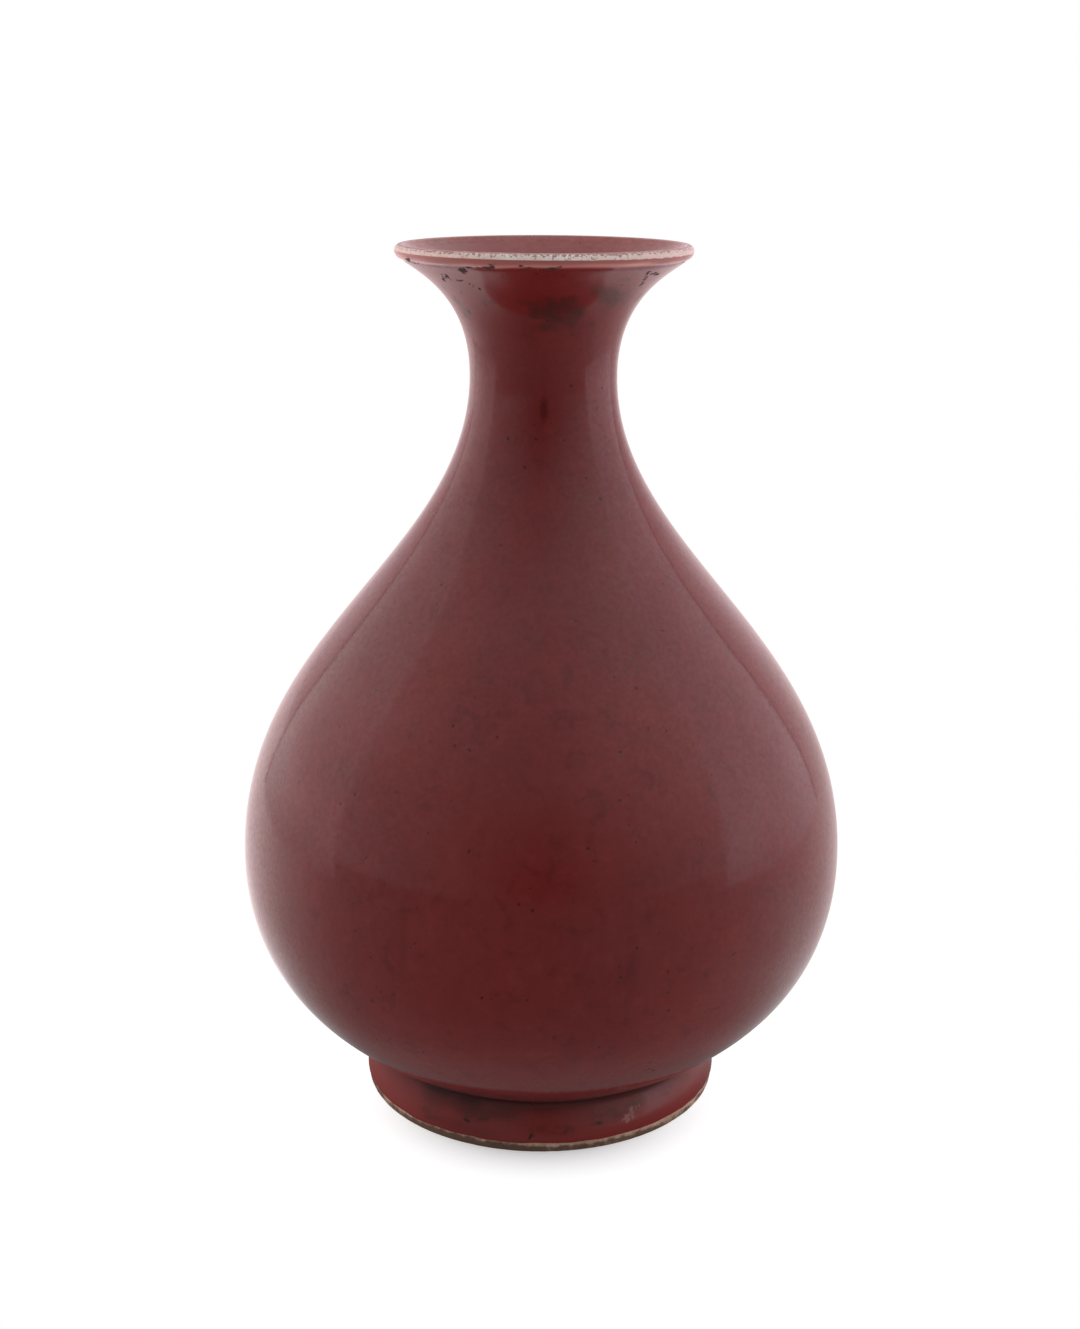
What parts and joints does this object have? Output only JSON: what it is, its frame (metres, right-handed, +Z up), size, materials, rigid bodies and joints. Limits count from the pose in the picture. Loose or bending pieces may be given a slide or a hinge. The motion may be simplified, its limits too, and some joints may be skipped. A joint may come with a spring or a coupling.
{
  "type": "pear-shaped bottle vase",
  "caption": "Pear-shaped porcelain bottle vase with a flared mouth, slim neck, full low belly and ring foot, coated in deep copper-red glaze with a pale lip; it stands free and holds stems.",
  "frame": {"origin": "centre of the standing rim, on the table", "axes": "+Z up along the axis of the bottle, X and Y level"},
  "size_m": [0.2116, 0.2116, 0.3],
  "materials": {
    "biscuit": "bare fired clay, fine grain, stained brown by use",
    "luting_slip": "fired slip between the sections, hidden",
    "porcelain": "white porcelain body, hidden under glaze",
    "red_glaze": "deep liver-red copper glaze, glossy, faintly mottled with fine dark specks",
    "lip_glaze": "thin pale glaze at the lip with small brown flecks",
    "inner_glaze": "glossy copper-red glaze inside the mouth and body",
    "base_glaze": "plain pale glaze under the base, no mark"
  },
  "bodies": {
    "root": {"foot_ring": "biscuit", "foot_slip_joint": "luting_slip", "lower_belly": "porcelain", "belly_slip_joint": "luting_slip", "upper_belly": "porcelain", "neck_slip_joint": "luting_slip", "neck_and_mouth": "porcelain", "outer_red_glaze": "red_glaze", "lip_pale_glaze": "lip_glaze", "inner_red_glaze": "inner_glaze", "base_glaze": "base_glaze"}
  },
  "joints": []
}
